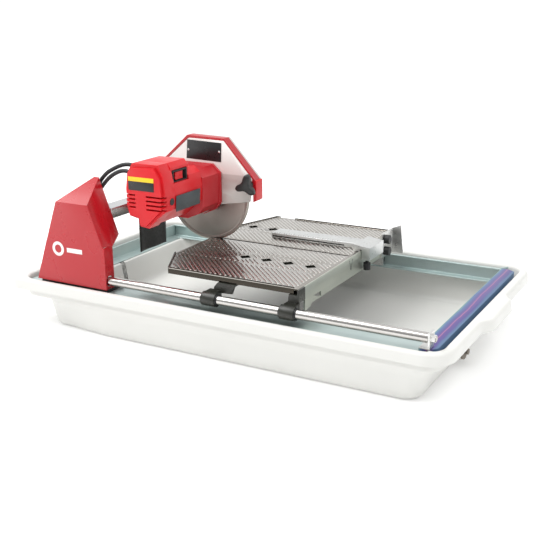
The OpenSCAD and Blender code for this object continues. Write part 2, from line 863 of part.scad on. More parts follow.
// painted ring of the swinging shell, with ears on the pivot and on the knob's stud
module guard_shell() {
    color("firebrick") head() difference() {
        union() {
            slab_y(shell_y0, ring_y1) guard_strip(ring_wid);
            slab_y(shell_y0, shell_y0 + 2.4) intersection() {
                guard_face();
                union() {
                    translate([pivot_dx, pivot_dz]) circle(r = 13);
                    translate([pivot_dx - 20, pivot_dz - 10]) square([20, 20]);
                    translate([knob_dx - 15, knob_dz - 12]) square([30, 28]);
                }
            }
        }
        round_y(pivot_dx, pivot_dz, 4.06, shell_y0 - 1, shell_y0 + 4);
        round_y(knob_dx, knob_dz, 4.6, shell_y0 - 1, shell_y0 + 4);
        slab_y(shell_y0 - 1, shell_y0 + 4) translate([knob_dx, knob_dz])
            polygon([[-4.6, 0], [4.6, 0], [4.6, -36], [-9, -36]]);
    }
}

// the shell's plain band and its far side
module guard_far_plate() {
    color("whitesmoke") head() {
        slab_y(ring_y1, shell_y1 - guard_wall) guard_strip(guard_wall);
        slab_y(shell_y1 - guard_wall, shell_y1) guard_face();
    }
}

// hollow end piece at the shell's front, which holds the water off the operator
module guard_nose() {
    color("red") head() difference() {
        slab_y(shell_y0, shell_y1) polygon([
            ring_end, guard_edge[4], [nose_x0 + 7, guard_edge[4][1] - 1.5], [nose_x0 + 7, -2],
            [nose_x0, -6], [nose_x0, ring_end[1] - 0.9]
        ]);
        slab_y(shell_y0 + 2.4, shell_y1 - 2.4) polygon([
            [nose_x0 + 1.8, 27], [nose_x0 + 5.2, 29], [nose_x0 + 5.2, -9], [nose_x0 + 1.8, -9]
        ]);
    }
}

module guard_knob() {
    lobe_r = 6.5;
    neck_h = 4;
    hub_r = 10.5;
    hub_h = 12;
    color("#222222") head() translate([knob_dx, plate_y0 - 0.4, knob_dz]) rotate([90, 0, 0])
        difference() {
            union() {
                cylinder(r = hub_r - 1.5, h = neck_h + 4);
                translate([0, 0, neck_h]) cylinder(r = hub_r, h = hub_h);
                for (i = [0:2]) rotate([0, 0, i * 120 + 80]) {
                    translate([knob_r - lobe_r, 0, neck_h + 0.5]) cylinder(r = lobe_r, h = hub_h - 1);
                    translate([2, -5, neck_h + 1]) cube([knob_r - lobe_r - 2, 10, hub_h - 2]);
                }
            }
            translate([0, 0, -1]) cylinder(r = 4 + running_gap, h = neck_h + hub_h + 2);
        }
}

// --- leads held by the tower and the motor ---------------------------------------------------

// Catmull-Rom place between points b and c
function between(a, b, c, d, t) = 0.5 * (2 * b + (c - a) * t + (2 * a - 5 * b + 4 * c - d) * t * t
    + (3 * b - a - 3 * c + d) * t * t * t);

function curve(p, steps) = [
    for (i = [0:len(p) - 2], s = [0:steps - 1])
        between(p[max(i - 1, 0)], p[i], p[i + 1], p[min(i + 2, len(p) - 1)], s / steps),
    p[len(p) - 1]
];

function unit(v) = v / norm(v);

// a closed tube swept along the points of c
module tube(c, r, sides) {
    n = len(c);
    rings = [
        for (i = [0:n - 1])
            let (along = unit(c[min(i + 1, n - 1)] - c[max(i - 1, 0)]),
                across = unit(cross(along, [0, 1, 0.35])),
                up = cross(across, along))
            for (k = [0:sides - 1])
                c[i] + r * (across * cos(k * 360 / sides) + up * sin(k * 360 / sides))
    ];
    walls = [
        for (i = [0:n - 2], k = [0:sides - 1])
            [i * sides + k, i * sides + (k + 1) % sides, (i + 1) * sides + (k + 1) % sides,
                (i + 1) * sides + k]
    ];
    ends = [[for (k = [sides - 1:-1:0]) k], [for (k = [0:sides - 1]) (n - 1) * sides + k]];
    polyhedron(points = rings, faces = concat(walls, ends), convexity = 4);
}

module power_lead() {
    color("#222222") head() tube(curve(lead_points, 3), lead_r, 10);
}

module water_hose() {
    color("#222222") head() tube(curve(hose_points, 3), lead_r, 10);
}

// rubber sleeve round each lead where it enters the motor
module strain_relief() {
    color("#222222") head() {
        for (p = [lead_points[0], hose_points[0]])
            round_x(p[1], p[2], 5, p[0], p[0] + 13);
    }
}

module lead_holes() {
    for (p = [lead_points[0], hose_points[0]])
        round_x(p[1], p[2], 5.1, p[0] - 5, p[0] + 13.1);
}

// --- table -------------------------------------------------------------------------------

// the table's outline with its three cut corners
module table_outline(g) {
    polygon([
        [table_x0 + g, -127], [table_x0 + 43, table_y0 + g], [table_x1 - g, table_y0 + g],
        [table_x1 - g, table_y1 - g], [table_x0 + 33, table_y1 - g], [table_x0 + g, 90]
    ]);
}

module diamond(x, y, w) {
    translate([x, y]) polygon([[-w, 0], [0, -w], [w, 0], [0, w]]);
}

module table_top() {
    color("gray") difference() {
        union() {
            translate([0, 0, table_z - table_sheet]) linear_extrude(height = table_sheet)
                table_outline(0);
            translate([0, 0, table_z - 9]) linear_extrude(height = 9 + lip_h) difference() {
                table_outline(0);
                table_outline(table_sheet);
                translate([table_x1 - 8, table_y0 - 1]) square([20, table_y1 - table_y0 + 2]);
                translate([table_x0 - 1, -125]) square([12, 213]);
                translate([table_x0 + 42, table_y1 - 10]) square([34, 20]);
            }
            for (y = [-186, -140, -60, 40, 150])
                translate([0, 0, table_z - 9]) linear_extrude(height = 9)
                    translate([table_x0 + 40, y * (table_y1 - table_y0) / 402])
                        square([table_len - 44, 2]);
        }
        box([table_x0 - 1, -slot_wid / 2, table_z - 12], [table_x1 - 7, slot_wid / 2, table_z + 1]);
        for (i = [0:3]) translate([0, 0, table_z - 12]) linear_extrude(height = 14) {
            diamond(table_x0 + 124 + i * 42.6, -89, 11);
            diamond(table_x0 + 30 + i * 43.8, 102, 11);
        }
    }
}

// end plate that a tile is pushed with; its near end reaches down past the guide rod's far side
module backstop() {
    low = back_top - backstop_h;
    main = low + 6;
    color("silver") slab_x(back_x0, back_x1) difference() {
        polygon([
            [back_y0, low], [back_y0 + 18, low], [back_y0 + 24, main], [table_y1 - 20, main],
            [table_y1, main + 12], [table_y1, back_top], [back_y0, back_top - 4]
        ]);
        polygon([
            [back_y0 + 30, main + 10], [back_y0 + 57, main + 10.5], [back_y0 + 58, main + 1.5]
        ]);
        for (z = stop_zs) translate([stop_y, z]) circle(d = 6.4);
    }
}

// two pressed legs, each with a clamp round its bushing
module table_legs() {
    leg_y0 = table_y0 - leg_sheet;
    foot_z = rod_z + 9;
    leg_top = table_z - 9.2;
    color("#222222") difference() {
        union() {
            slab_y(leg_y0, table_y0) {
                polygon([
                    [bush_x[0] + 11, foot_z - 2], [bush_x[0] + bushing_len + 16, foot_z],
                    [bush_x[0] + bushing_len + 22, leg_top], [bush_x[0] + 19, leg_top],
                    [bush_x[0] + 12, foot_z + 8]
                ]);
                polygon([
                    [bush_x[1] + 4, foot_z - 2], [back_x0 - 3, foot_z - 2], [back_x1, leg_top],
                    [bush_x[1] + 6, leg_top]
                ]);
            }
            box([back_x0, leg_y0, foot_z + 4], [back_x1 + 0.4, back_y0 - 0.2, back_top - 4.2]);
            box([bush_x[0] + 19, leg_y0, leg_top - 3],
                [bush_x[0] + bushing_len + 22, table_y0 + 30, leg_top]);
            box([bush_x[1] + 6, leg_y0, leg_top - 3], [back_x0 - 3, table_y0 + 30, leg_top]);
            for (x = bush_x) {
                round_x(rod_y, rod_z, clamp_r, x, x + bushing_len - 4);
                box([x + 2, rod_y, rod_z + 2], [x + bushing_len - 6, table_y0, foot_z + 3]);
            }
        }
        round_x(rod_y, rod_z, bushing_d / 2 + 0.05, bush_x[0] - 20, back_x1 + 20);
    }
}

module slide_bushings() {
    color("#333333") {
        for (i = [0:1]) difference() {
            round_x(rod_y, rod_z, bushing_d / 2, bush_x[i] - 2, bush_x[i] + bushing_len - 2);
            round_x(rod_y, rod_z, rod_d / 2 + running_gap, bush_x[i] - 3, bush_x[i] + bushing_len);
        }
    }
}

// strap under the table's far side, with the two roller pins
module roller_bracket() {
    color("silver") {
        box([roller_xs[0] - 14, bracket_y - sheet, roller_z - 7],
            [roller_xs[1] + 14, bracket_y, roller_z + 8]);
        for (x = roller_xs) {
            slab_y(bracket_y - sheet, bracket_y) polygon([
                [x - 14, roller_z + 7], [x + 14, roller_z + 7], [x + 20, table_z - 9.2],
                [x - 20, table_z - 9.2]
            ]);
            box([x - 20, table_y1 - 26, table_z - 11.7], [x + 20, bracket_y, table_z - 9.2]);
            round_y(x, roller_z, 3, bracket_y - 0.5, roller_y + roller_wid + 2);
        }
    }
}

module roller(x) {
    color("#333333") difference() {
        round_y(x, roller_z, roller_d / 2, roller_y, roller_y + roller_wid);
        round_y(x, roller_z, 3 + running_gap, roller_y - 1, roller_y + roller_wid + 1);
    }
}

module roller_left() {
    roller(roller_xs[0]);
}

module roller_right() {
    roller(roller_xs[1]);
}

// upright plate bolted behind the backstop's far end
module stop_bracket() {
    color("silver") difference() {
        union() {
            box([back_x1 + 0.1, stop_y - 12, stop_zs[1] - 12],
                [back_x1 + 3.1, stop_y + 40, stop_zs[0] + 12]);
            slab_y(stop_y + 37, stop_y + 40) polygon([
                [back_x1 + 0.1, stop_zs[1] - 12], [back_x1 + 26, stop_zs[1] - 12],
                [back_x1 + 20, stop_zs[0] + 20], [back_x1 + 0.1, stop_zs[0] + 12]
            ]);
        }
        for (z = stop_zs) round_x(stop_y, z, 3.2, back_x1 - 1, back_x1 + 5);
    }
}

module stop_bolts() {
    color("#333333") {
        for (z = stop_zs) {
            round_x(stop_y, z, 3, back_x0 + 0.1, back_x1 + 8);
            translate([back_x1 + 3.1, stop_y, z]) rotate([0, 90, 0]) cylinder(r = 8.5, h = 11, $fn = 12);
        }
    }
}

// --- rip guide ----------------------------------------------------------------------------

module rip_bar() {
    color("gainsboro") difference() {
        box([bar_x0, bar_y0, bar_z0], [back_x0 - 12, bar_y1, bar_z1]);
        box([bar_x0 - 1, bar_y0 + 5, bar_z0 - 1], [back_x0 - 16, bar_y1 - 5, bar_z1 - 3]);
    }
}

// head that hooks over the backstop
module rip_head() {
    color("silver") difference() {
        slab_y(head_y0, head_y1) polygon([
            [back_x0 - 11.8, bar_z0 + 0.4], [back_x0 - 0.5, bar_z0 + 0.4], [back_x0 - 0.5, back_top + 0.5],
            [back_x1 + 0.5, back_top + 0.5], [back_x1 + 0.5, back_top - 18], [back_x1 + 16, back_top - 18],
            [back_x1 + 16, back_top + 5], [back_x0 - 11.8, back_top + 9]
        ]);
        translate([screw_x, screw_y, back_top - 20]) cylinder(r = 3.05, h = 18);
    }
}

// thumb-screw that hangs under the head
module rip_screw() {
    color("#222222") translate([screw_x, screw_y, 0]) {
        translate([0, 0, back_top - 24]) cylinder(r = 3, h = 16);
        translate([0, 0, back_top - 36]) cylinder(r = 6.5, h = 12.5);
        translate([-1.6, -7.8, back_top - 36]) cube([3.2, 15.6, 12]);
    }
}

pan();
drain_plug();
rail_near();
rail_far();
cross_left();
cross_right();
frame_bolts();
guide_rod();
rod_bracket();
rod_nut();
tower_base();
post();
tower_cover();
cover_badge();
arm();
head_bracket();
flap_bracket();
splash_flap();
motor_housing();
motor_end_cap();
gear_case();
bearings();
stator();
carbon_brushes();
brush_caps();
switch_bezel();
switch_rocker();
side_label();
end_label_top();
end_label_bottom();
strain_relief();
power_lead();
water_hose();
armature();
fan();
driven_gear();
arbor();
inner_flange();
outer_flange();
arbor_nut();
blade();
guard_plate();
plate_label();
guard_shell();
guard_far_plate();
guard_nose();
guard_knob();
table_top();
backstop();
table_legs();
slide_bushings();
roller_bracket();
roller_left();
roller_right();
stop_bracket();
stop_bolts();
rip_bar();
rip_head();
rip_screw();
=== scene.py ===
"""Wet tile saw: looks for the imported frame. The frame's own solids are softened and given finishes, and the
moulded, spun and flexible pieces are made again as worked-out surfaces. Metres, in the frame's own axes."""

import json
import math

import bmesh
import bpy
import numpy as np
from mathutils import Matrix, Vector

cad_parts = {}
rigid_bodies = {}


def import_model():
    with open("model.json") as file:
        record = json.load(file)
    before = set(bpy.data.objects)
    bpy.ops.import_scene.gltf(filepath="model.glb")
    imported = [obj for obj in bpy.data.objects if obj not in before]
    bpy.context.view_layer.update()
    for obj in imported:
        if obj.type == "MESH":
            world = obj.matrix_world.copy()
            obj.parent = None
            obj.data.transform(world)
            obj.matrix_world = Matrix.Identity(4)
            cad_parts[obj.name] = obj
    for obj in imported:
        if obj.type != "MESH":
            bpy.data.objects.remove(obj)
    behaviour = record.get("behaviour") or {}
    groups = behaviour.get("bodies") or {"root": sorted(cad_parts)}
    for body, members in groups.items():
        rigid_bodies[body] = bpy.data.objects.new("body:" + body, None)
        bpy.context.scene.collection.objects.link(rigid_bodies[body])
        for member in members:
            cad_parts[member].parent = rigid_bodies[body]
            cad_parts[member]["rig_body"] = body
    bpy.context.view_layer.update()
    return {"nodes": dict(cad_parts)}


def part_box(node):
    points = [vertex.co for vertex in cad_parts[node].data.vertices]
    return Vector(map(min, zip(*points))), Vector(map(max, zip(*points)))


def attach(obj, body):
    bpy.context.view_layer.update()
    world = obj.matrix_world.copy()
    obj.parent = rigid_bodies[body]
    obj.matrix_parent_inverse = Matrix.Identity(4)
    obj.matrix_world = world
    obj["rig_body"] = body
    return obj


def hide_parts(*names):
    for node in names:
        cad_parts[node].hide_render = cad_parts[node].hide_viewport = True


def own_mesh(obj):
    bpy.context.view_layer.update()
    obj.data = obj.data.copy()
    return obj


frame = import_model()
mm = 0.001

# --- Camera ---------------------------------------------------------------------------------------
# A studio lens of 60 mm, standing to the right of the saw's near side and looking down on it.
turn, rise, roll = math.radians(29.237), math.radians(17.084), math.radians(-0.533)
back = Vector((math.sin(turn) * math.cos(rise), -math.cos(turn) * math.cos(rise), math.sin(rise)))
level = Vector((math.cos(turn), math.sin(turn), 0))
right = math.cos(roll) * level + math.sin(roll) * back.cross(level)
camera = bpy.data.objects.new("camera", bpy.data.cameras.new("camera"))
camera.data.lens = 60.03
camera.data.sensor_width = 36
camera.data.clip_end = 1000
stand = (0.77504, -1.38984, 0.58036)
facing_saw = Matrix((right, back.cross(right), back)).transposed().to_4x4()
camera.matrix_world = Matrix.Translation(stand) @ facing_saw
bpy.context.scene.collection.objects.link(camera)
bpy.context.scene.camera = camera
bpy.context.scene.view_settings.view_transform = "Standard"


# --- Leads from the tower to the motor ------------------------------------------------------------
# A rubber-sheathed supply lead and a water hose, each held by a sleeve in the motor and by the
# tower. Both follow the same route as their solids, through evenly eased curves.
def linear(code):
    """An sRGB hex colour as linear red, green, blue and alpha."""
    c = np.array([int(code[i:i + 2], 16) / 255 for i in (1, 3, 5)])
    c = np.where(c <= 0.04045, c / 12.92, ((c + 0.055) / 1.055) ** 2.4)
    return (*c.tolist(), 1.0)


def add(tree, kind, inputs=None, **settings):
    """A node with its settings, and its sockets either linked or set."""
    made = tree.nodes.new(kind)
    for key, value in settings.items():
        setattr(made, key, value)
    for key, value in (inputs or {}).items():
        if isinstance(value, bpy.types.NodeSocket):
            tree.links.new(value, made.inputs[key])
        else:
            made.inputs[key].default_value = value
    return made


def surface(name, light, dark, patch=30, rough=(0.4, 0.5), grain=0.5, depth=0.02, stretch=(1, 1, 1),
            speck=None, **shader):
    """A finish whose colour wanders between two shades in patches of patch mm and whose roughness
    wanders between two values, over a fine grain of grain mm raised by depth mm. The grain is drawn
    four times as coarse as it is, or it wouldn't show from a metre and a half. stretch draws the
    grain out along an axis by lowering its scale there. speck scatters small marks of that colour."""
    grain_scale = 1 / (4 * grain * mm)
    mat = bpy.data.materials.new(name)
    mat.use_nodes = True
    tree = mat.node_tree
    bsdf = tree.nodes["Principled BSDF"]
    place = add(tree, "ShaderNodeTexCoord").outputs["Object"]
    patches = add(tree, "ShaderNodeTexNoise",
                  {"Vector": place, "Scale": 1 / (patch * mm), "Detail": 4.0})
    mix = add(tree, "ShaderNodeMix", {0: patches.outputs["Fac"], 6: linear(light), 7: linear(dark)},
              data_type="RGBA")
    colour = mix.outputs[2]
    drawn = add(tree, "ShaderNodeMapping", {"Vector": place, "Scale": stretch})
    fine = add(tree, "ShaderNodeTexNoise",
               {"Vector": drawn.outputs[0], "Scale": grain_scale, "Detail": 2.0})
    if speck:
        dots = add(tree, "ShaderNodeTexNoise",
                   {"Vector": place, "Scale": 1 / (patch * 0.12 * mm), "Detail": 6.0})
        mask = add(tree, "ShaderNodeMapRange",
                   {"Value": dots.outputs["Fac"], "From Min": 0.62, "From Max": 0.72})
        marked = add(tree, "ShaderNodeMix", {0: mask.outputs[0], 6: colour, 7: linear(speck)},
                     data_type="RGBA")
        colour = marked.outputs[2]
    smear = add(tree, "ShaderNodeTexNoise",
                {"Vector": drawn.outputs[0], "Scale": 3 / (patch * mm), "Detail": 5.0})
    gloss = add(tree, "ShaderNodeMapRange",
                {"Value": smear.outputs["Fac"], "From Min": 0.3, "From Max": 0.7,
                 "To Min": rough[0], "To Max": rough[1]})
    raised = add(tree, "ShaderNodeBump",
                 {"Height": fine.outputs["Fac"], "Distance": depth * mm, "Strength": 1.0})
    tree.links.new(colour, bsdf.inputs["Base Color"])
    tree.links.new(gloss.outputs[0], bsdf.inputs["Roughness"])
    tree.links.new(raised.outputs[0], bsdf.inputs["Normal"])
    for key, value in shader.items():
        bsdf.inputs[key.replace("_", " ")].default_value = value
    return mat


def piece(name, points, faces, mat, body, slot, stands_for=(), smooth=True):
    """A new mesh piece at the origin, with its faces turned outwards, riding on a body."""
    mesh = bpy.data.meshes.new(name)
    mesh.from_pydata(np.asarray(points, float).tolist(), [], [list(map(int, f)) for f in faces])
    work = bmesh.new()
    work.from_mesh(mesh)
    bmesh.ops.remove_doubles(work, verts=work.verts, dist=1e-6)
    bmesh.ops.recalc_face_normals(work, faces=work.faces)
    work.to_mesh(mesh)
    work.free()
    mesh.polygons.foreach_set("use_smooth", [smooth] * len(mesh.polygons))
    obj = bpy.data.objects.new(name, mesh)
    bpy.context.scene.collection.objects.link(obj)
    mesh.materials.append(mat)
    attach(obj, body)
    if stands_for:
        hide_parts(*stands_for)
    return obj


def loft(rings, caps=True):
    """Points and quads that join rings of equal count, each ring closed on itself; the caps close
    the two ends with one face each."""
    rings = np.asarray(rings, float)
    count, n = rings.shape[:2]
    i, k = np.meshgrid(np.arange(count - 1), np.arange(n), indexing="ij")
    nxt = (k + 1) % n
    quads = np.stack([i * n + k, i * n + nxt, (i + 1) * n + nxt, (i + 1) * n + k], -1)
    quads = quads.reshape(-1, 4).tolist()
    if caps:
        quads += [list(range(n))[::-1], list(range((count - 1) * n, count * n))]
    return rings.reshape(-1, 3), quads


def eased(points, steps):
    """The route through points, each stretch cut into steps by the Catmull-Rom cubic."""
    p = np.asarray(points, float)
    a, b, c, d = (p[np.clip(np.arange(len(p) - 1) + k, 0, len(p) - 1)][:, None] for k in (-1, 0, 1, 2))
    t = np.linspace(0, 1, steps, endpoint=False)[None, :, None]
    path = 0.5 * (2 * b + (c - a) * t + (2 * a - 5 * b + 4 * c - d) * t ** 2
                  + (3 * b - a - 3 * c + d) * t ** 3)
    return np.vstack([path.reshape(-1, 3), p[-1:]])


def tube(path, radius, sides=20):
    """Circles of the given radius square to the path, one at each of its points."""
    along = np.gradient(path, axis=0)
    along /= np.linalg.norm(along, axis=1, keepdims=True)
    across = np.cross(along, [0, 1, 0.35])
    across /= np.linalg.norm(across, axis=1, keepdims=True)
    up = np.cross(across, along)
    a = np.linspace(0, 2 * math.pi, sides, endpoint=False)
    radius = np.broadcast_to(radius, len(path))[:, None, None]
    spoke = across[:, None] * np.cos(a)[:, None] + up[:, None] * np.sin(a)[:, None]
    return path[:, None] + radius * spoke


blade_low, blade_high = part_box("blade")
head = np.array((blade_low + blade_high) / 2)
# Extruded rubber: matt black, a little grey where it has been handled.
sheath = surface("extruded_rubber", "#2B2D2F", "#1B1C1E", 12, (0.42, 0.58), 0.6, 0.03)
lead_route = [(-45, -158, 72), (-58, -160, 75), (-72, -162, 73), (-88, -165, 66), (-102, -168, 57),
              (-114, -171, 43), (-123, -173, 24), (-131, -176, 2), (-136, -183, -22), (-138, -195, -44)]
hose_route = [(-45, -171, 63), (-58, -172, 66), (-72, -173, 63), (-88, -174, 54), (-101, -175, 42),
              (-113, -176, 27), (-121, -177, 6), (-124, -184, -18), (-126, -196, -44)]
lead_radius = 3.6 * mm
for name, route in (("power_lead", lead_route), ("water_hose", hose_route)):
    path = head + eased(route, 6) * mm
    piece(name + "_tube", *loft(tube(path, lead_radius)), sheath, "base", "lead_sheath", [name])


# --- Moulded water pan ----------------------------------------------------------------------------
# One deep vacuum-formed tray in white polyethylene: a flat floor, drafted walls, a ledge for the
# frame at each end, and a rolled rim that widens into a hand grip at both ends.
wall, ledge_z = 3, 58
# the hand grips' middle, half length and the run over which they swell out of the rim
grip_y, grip_half, grip_ease = -8, 79, 30
# where the tub's long sides start to draw in towards the tower, and over what run
narrow_from, narrow_over = -200, 114


def outline(x0, x1, y, left, right_r, z, grip=0.0, narrow=0.0):
    """A ring of points round a rectangle with corners rounded by left and right_r. grip pushes the
    ends out over the hand grips, and narrow draws the long sides in at the tower's end, both by the
    smooth step s * s * (3 - 2 * s)."""
    side, end = np.linspace(-1, 1, 110), np.linspace(-1, 1, 72)
    arc = np.linspace(0, math.pi / 2, 12)[1:-1]

    def corner(cx, cy, r, start):
        return np.stack([cx + r * np.cos(arc + start), cy + r * np.sin(arc + start)], -1)

    def bump(ys):
        s = np.clip((grip_half - np.abs(ys - grip_y)) / grip_ease, 0, 1)
        return grip * s * s * (3 - 2 * s)

    ys = end * (y - right_r)
    east = np.stack([x1 + bump(ys), ys], -1)
    xs = (x0 + left + x1 - right_r) / 2 - side * (x1 - right_r - x0 - left) / 2
    north = np.stack([xs, np.full_like(xs, y)], -1)
    yw = -end * (y - left)
    west = np.stack([x0 - bump(yw), yw], -1)
    south = np.stack([xs[::-1], np.full_like(xs, -y)], -1)
    flat = np.vstack([east, corner(x1 - right_r, y - right_r, right_r, 0), north,
                      corner(x0 + left, y - left, left, math.pi / 2), west,
                      corner(x0 + left, left - y, left, math.pi), south,
                      corner(x1 - right_r, right_r - y, right_r, 1.5 * math.pi)])
    s = np.clip((narrow_from - flat[:, 0]) / narrow_over, 0, 1)
    flat[:, 1] -= np.sign(flat[:, 1]) * narrow * s * s * (3 - 2 * s)
    return np.column_stack([flat, np.full(len(flat), z)]) * mm


def tub(z, inset, skin):
    """The tub's ring at height z, drawn in by inset; skin is 0 inside and the wall outside. Its walls
    lean out evenly from the floor to the ledge."""
    u = (z - wall * (skin == 0)) / ledge_z
    return outline(-336.5 - 10 * u - skin + inset, 366.5 + 20 * u + skin - inset,
                   225 + 9.5 * u + skin - inset, 24, 26, z, narrow=9)


# The rings run up the inside, over the ledge and the rim, and back down the outside. The floor's
# edge is rounded by foot_in inside and foot_out outside.
foot_in, foot_out = 9, 7
pan_rings = []
for turned in np.radians([0, 20, 40, 60, 80]):
    pan_rings.append(tub(wall + foot_in * (1 - math.cos(turned)), foot_in * (1 - math.sin(turned)), 0))
pan_rings += [tub(z, 0, 0) for z in (14, 30, 45, 55)]
pan_rings += [tub(57, -0.8, 0), tub(ledge_z, -2.6, 0)]
pan_rings += [outline(-385, 399, 235.6, 26, 26, ledge_z), outline(-387.6, 401.6, 235.9, 27, 27, 59)]
pan_rings += [outline(-388.5, 402.5, 236, 27, 27, z) for z in (62, 75, 82)]
for turned in np.radians([0, 25, 50, 75, 90]):
    out = 5 * (1 - math.cos(turned))
    pan_rings.append(outline(-388.8 - out, 402.8 + out, 236.3 + out, 27 + out, 27 + out,
                             84 + 5 * math.sin(turned)))
rim_x, rim_y, grip_reach = 421.5, 251, 14
rim_lip = [(82.8 + 6 * math.sin(turned), 1.5 + 6 * (1 - math.cos(turned)))
           for turned in np.radians([90, 70, 50, 30, 10, 0])]
rim_lip += [(77, 0.9), (71, 0.2), (69.6, 0.3), (69, 0.9), (69.1, 2.2), (70, 2.9), (84, 3.6), (86, 5)]
pan_rings += [outline(c - rim_x, rim_x - c, rim_y - c, 28, 45, z, grip=grip_reach) for z, c in rim_lip]
pan_rings += [outline(-394, 408, 241, 30, 30, 86), outline(-391.8, 405.8, 239.2, 30, 30, 84)]
pan_rings += [outline(-391.5, 405.5, 239, 30, 30, z) for z in (70, 59)]
pan_rings += [outline(-390, 404, 238.6, 28, 28, 56)]
pan_rings += [tub(z, 0, wall) for z in (54.5, 40, 20)]
for turned in np.radians([80, 60, 40, 20, 0]):
    pan_rings.append(tub(foot_out * (1 - math.cos(turned)), foot_out * (1 - math.sin(turned)), wall))
# Polyethylene: white, half gloss, with faint forming marks that make it slightly uneven.
pan_white = surface("vacuum_formed_polyethylene", "#E3E3DF", "#DADAD6", 120, (0.38, 0.5), 1.4, 0.03)
pan = piece("pan_shell", *loft(pan_rings), pan_white, "base", "pan_plastic", ["pan"])

# The drain's boss and hole in the operator's end of the tub, with its rubber stopper.
plug_low, plug_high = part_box("drain_plug")
plug_reach, drain_r = 12, 11
drain_y, drain_z = (plug_low.y + plug_high.y) / 2, (plug_low.z + plug_high.z) / 2
seat_x = plug_low.x + plug_reach * mm


def spun(profile, centre, axis, sides=64):
    """A closed profile of (distance along the axis, radius) pairs turned about an axis, in mm."""
    profile = np.asarray(profile, float) * mm
    a = np.linspace(0, 2 * math.pi, sides, endpoint=False)
    u, v = ((1, 2), (2, 0), (0, 1))[axis]
    rings = np.zeros((len(profile), sides, 3))
    rings[..., axis] = profile[:, :1]
    rings[..., u] = profile[:, 1:] * np.cos(a)
    rings[..., v] = profile[:, 1:] * np.sin(a)
    return rings + np.asarray(centre, float)


def turned_piece(name, profile, centre, axis, *rest, hollow=False, sides=64, **more):
    """A spun piece: a hollow profile joins back on itself, and a solid one ends in two caps."""
    rings = spun(profile + profile[:1] if hollow else profile, centre, axis, sides)
    return piece(name, *loft(rings, caps=not hollow), *rest, **more)


bung = bpy.data.meshes.new("bung")
points, faces = loft(spun([(-60, drain_r), (30, drain_r)], (seat_x, drain_y, drain_z), 0, 48))
bung.from_pydata(points.tolist(), [], faces)
cutter = bpy.data.objects.new("bung", bung)
bpy.context.scene.collection.objects.link(cutter)
cut = pan.modifiers.new("drain", "BOOLEAN")
cut.object = cutter
cut.operation = "DIFFERENCE"
bpy.context.view_layer.update()
drilled = bpy.data.meshes.new_from_object(pan.evaluated_get(bpy.context.evaluated_depsgraph_get()))
pan.modifiers.clear()
pan.data = drilled
bpy.data.objects.remove(cutter)
boss_r = drain_r + 0.1
turned_piece("drain_boss",
             [(-9, boss_r), (-9, 15), (-1.5, 15.8), (-0.4, 15.2), (-0.1, 14), (-0.1, boss_r)],
             (seat_x, drain_y, drain_z), 0, pan_white, "base", "pan_plastic", hollow=True)
# Moulded rubber: near black, dull, with a bloom of grey.
black_rubber = surface("moulded_rubber", "#262726", "#171817", 18, (0.5, 0.68), 0.7, 0.04)


def softened(node, width, mat, segments=3, angle=28):
    """A copy of a frame solid with its triangles merged and its sharp edges rounded by width mm."""
    source = frame["nodes"][node]
    mesh = bpy.data.meshes.new(node + "_soft")
    work = bmesh.new()
    work.from_mesh(source.data)
    bmesh.ops.remove_doubles(work, verts=work.verts, dist=2e-6)
    bmesh.ops.dissolve_limit(work, angle_limit=math.radians(0.6), verts=work.verts, edges=work.edges)
    work.to_mesh(mesh)
    work.free()
    mesh.polygons.foreach_set("use_smooth", [True] * len(mesh.polygons))
    mesh.materials.clear()
    mesh.materials.append(mat)
    obj = bpy.data.objects.new(node + "_soft", mesh)
    bpy.context.scene.collection.objects.link(obj)
    rounding = obj.modifiers.new("rounding", "BEVEL")
    rounding.width = width * mm
    rounding.segments = segments
    rounding.limit_method = "ANGLE"
    rounding.angle_limit = math.radians(angle)
    rounding.harden_normals = True
    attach(obj, source["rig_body"])
    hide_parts(node)
    return obj


grey_rubber = surface("grey_stopper_rubber", "#8B8378", "#746D63", 12, (0.5, 0.68), 0.7, 0.04)
softened("drain_plug", 0.8, grey_rubber)

# --- Frame rails and cross members ----------------------------------------------------------------
# Folded sheet steel, zinc plated; the clear passivate leaves a blue-green cast and a soft sheen.
zinc = surface("zinc_plated_sheet", "#CBD8D5", "#ABBDBD", 60, (0.3, 0.46), 0.9, 0.012, (0.06, 1, 1),
               Metallic=0.7)
for node in ("rail_near", "rail_far", "cross_left"):
    softened(node, 0.9, zinc)


def banded(name, stops, axis, low, high, wander=0.0, **more):
    """A finish whose colour runs through stops from low to high metres along an axis; wander lets
    the bands drift by that share of the run."""
    mat = surface(name, "#FFFFFF", "#FFFFFF", **more)
    tree = mat.node_tree
    place = add(tree, "ShaderNodeTexCoord").outputs["Object"]
    at = add(tree, "ShaderNodeSeparateXYZ", {0: place}).outputs[axis]
    span = add(tree, "ShaderNodeMapRange", {"Value": at, "From Min": low, "From Max": high})
    # the drift comes in patches about 70 mm across
    drift = add(tree, "ShaderNodeTexNoise", {"Vector": place, "Scale": 14.0, "Detail": 3.0})
    total = add(tree, "ShaderNodeMath", {0: drift.outputs["Fac"], 1: wander, 2: span.outputs[0]},
                operation="MULTIPLY_ADD")
    ramp = add(tree, "ShaderNodeValToRGB", {"Fac": total.outputs[0]})
    ends = ramp.color_ramp.elements[0], ramp.color_ramp.elements[1]
    ends[0].color, ends[1].color = linear(stops[0][1]), linear(stops[-1][1])
    for position, code in stops[1:-1]:
        ramp.color_ramp.elements.new(position).color = linear(code)
    tree.links.new(ramp.outputs[0], tree.nodes["Principled BSDF"].inputs["Base Color"])
    return mat
